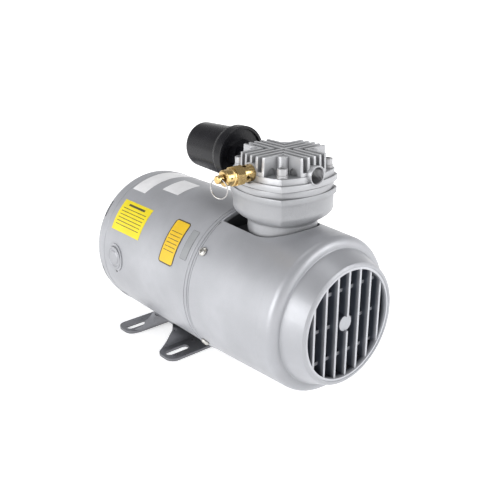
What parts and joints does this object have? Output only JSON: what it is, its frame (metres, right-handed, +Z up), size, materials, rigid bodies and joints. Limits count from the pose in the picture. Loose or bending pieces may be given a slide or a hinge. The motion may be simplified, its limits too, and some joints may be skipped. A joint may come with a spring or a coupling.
{
  "type": "diaphragm vacuum pump",
  "caption": "Motor-mounted oil-free diaphragm pump with finned head, black intake filter, brass relief valve with pull ring, fan shroud with grille, and slotted base.",
  "frame": {"origin": "on the floor plane at the centre of the four base slots, under the motor", "axes": "+Z up; +Y along the motor axis towards the rear end bell; the intake grille faces -Y and the relief valve points to -X"},
  "size_m": [0.1436, 0.278, 0.2156],
  "materials": {
    "grey_paint": "silver-grey enamel, satin",
    "base_paint": "silver-grey enamel over pressed steel",
    "grille_paint": "silver-grey enamel",
    "cast_head": "painted die casting, fine texture",
    "cast_housing": "painted die casting, fine texture",
    "lamination_steel": "stacked electrical steel",
    "copper_winding": "varnished copper wire",
    "rotor_aluminium": "die-cast aluminium",
    "ground_steel": "ground steel",
    "zinc_fasteners": "zinc-plated steel",
    "head_fasteners": "steel screws painted over with the pump",
    "cast_iron": "machined cast iron",
    "rod_aluminium": "die-cast aluminium",
    "diaphragm_rubber": "reinforced rubber",
    "reed_steel": "blued spring steel strip",
    "gasket": "dark fibre gasket",
    "black_plastic": "black moulded plastic, satin",
    "fan_plastic": "black moulded plastic",
    "protector_plastic": "black phenolic",
    "filter_felt": "pleated filter felt",
    "brass": "bright turned brass",
    "spring_steel": "bright spring wire",
    "label_yellow": "yellow film",
    "label_amber": "amber film with a dark border",
    "label_grey": "grey film",
    "label_white": "white film"
  },
  "bodies": {
    "root": {"base_bracket": "base_paint", "conduit_knockout": "grey_paint", "cylinder_head": "cast_head", "diaphragm": "diaphragm_rubber", "diaphragm_housing": "cast_housing", "fan_shroud": "grey_paint", "filter_base": "black_plastic", "filter_element": "filter_felt", "front_bearing": "ground_steel", "front_end_bell": "grey_paint", "head_bolts": "head_fasteners", "head_gasket": "gasket", "head_lock_washers": "head_fasteners", "head_washers": "head_fasteners", "housing_screws": "zinc_fasteners", "intake_grille": "grille_paint", "label_grey_strip": "label_grey", "label_side_front": "label_amber", "label_side_rear": "label_yellow", "labels_top": "label_white", "motor_shell": "grey_paint", "preload_washer": "ground_steel", "rear_bearing": "ground_steel", "rear_end_bell": "grey_paint", "reed_rivets": "zinc_fasteners", "relief_spring": "spring_steel", "relief_valve_body": "brass", "relief_valve_cap": "brass", "shroud_screws": "zinc_fasteners", "stator_core": "lamination_steel", "stator_windings": "copper_winding", "thermal_protector": "protector_plastic", "through_bolt_nuts": "zinc_fasteners", "through_bolts": "zinc_fasteners", "valve_plate": "cast_head"},
    "drive": {"motor_shaft": "ground_steel", "rotor_core": "lamination_steel", "rotor_cage": "rotor_aluminium", "eccentric": "cast_iron", "eccentric_set_screw": "zinc_fasteners", "cooling_fan": "fan_plastic", "fan_set_screw": "zinc_fasteners"},
    "rod": {"connecting_rod": "rod_aluminium", "eccentric_bearing": "ground_steel", "lower_diaphragm_plate": "rod_aluminium", "upper_diaphragm_plate": "rod_aluminium", "diaphragm_screw": "zinc_fasteners"},
    "outlet_flap": {"outlet_reed": "reed_steel"},
    "inlet_flap": {"inlet_reed": "reed_steel"},
    "relief_stem": {"relief_poppet": "brass"},
    "ring": {"pull_ring": "spring_steel"},
    "filter_cap": {"filter_cover": "black_plastic"}
  },
  "joints": [
    {"name": "shaft_spin", "type": "hinge", "parent": "root", "child": "drive", "pos_m": [0, -0.12125, 0.0762], "axis": [0, 1, 0], "continuous": true},
    {"name": "rod_orbit", "type": "hinge", "parent": "drive", "child": "rod", "pos_m": [0, -0.12125, 0.0737], "axis": [0, 1, 0], "continuous": true, "deforming": ["diaphragm"]},
    {"name": "outlet_reed_lift", "type": "hinge", "parent": "root", "child": "outlet_flap", "pos_m": [-0.01782, -0.12139, 0.18022], "axis": [-0.7071, -0.7071, 0], "range_deg": [0, 3], "stiffness_Nm_per_rad": 0.02, "springref_deg": -1.72},
    {"name": "inlet_reed_lift", "type": "hinge", "parent": "root", "child": "inlet_flap", "pos_m": [0.00014, -0.10343, 0.17838], "axis": [0.7071, 0.7071, 0], "range_deg": [0, 3], "stiffness_Nm_per_rad": 0.02, "springref_deg": -1.72},
    {"name": "relief_lift", "type": "slide", "parent": "root", "child": "relief_stem", "axis": [-1, 0, 0], "range_m": [0, 0.003], "stiffness_N_per_m": 1500, "springref_m": -0.004, "deforming": ["relief_spring"]},
    {"name": "ring_swing", "type": "hinge", "parent": "relief_stem", "child": "ring", "pos_m": [-0.0674, -0.12125, 0.1917], "axis": [-0.2924, 0.9563, 0], "range_deg": [-10, 80]},
    {"name": "filter_cover_pull", "type": "slide", "parent": "root", "child": "filter_cap", "axis": [0, 1, 0], "range_m": [0, 0.06]}
  ],
  "couplings": [
    {"joint": "rod_orbit", "follows": "shaft_spin", "ratio": -1}
  ]
}
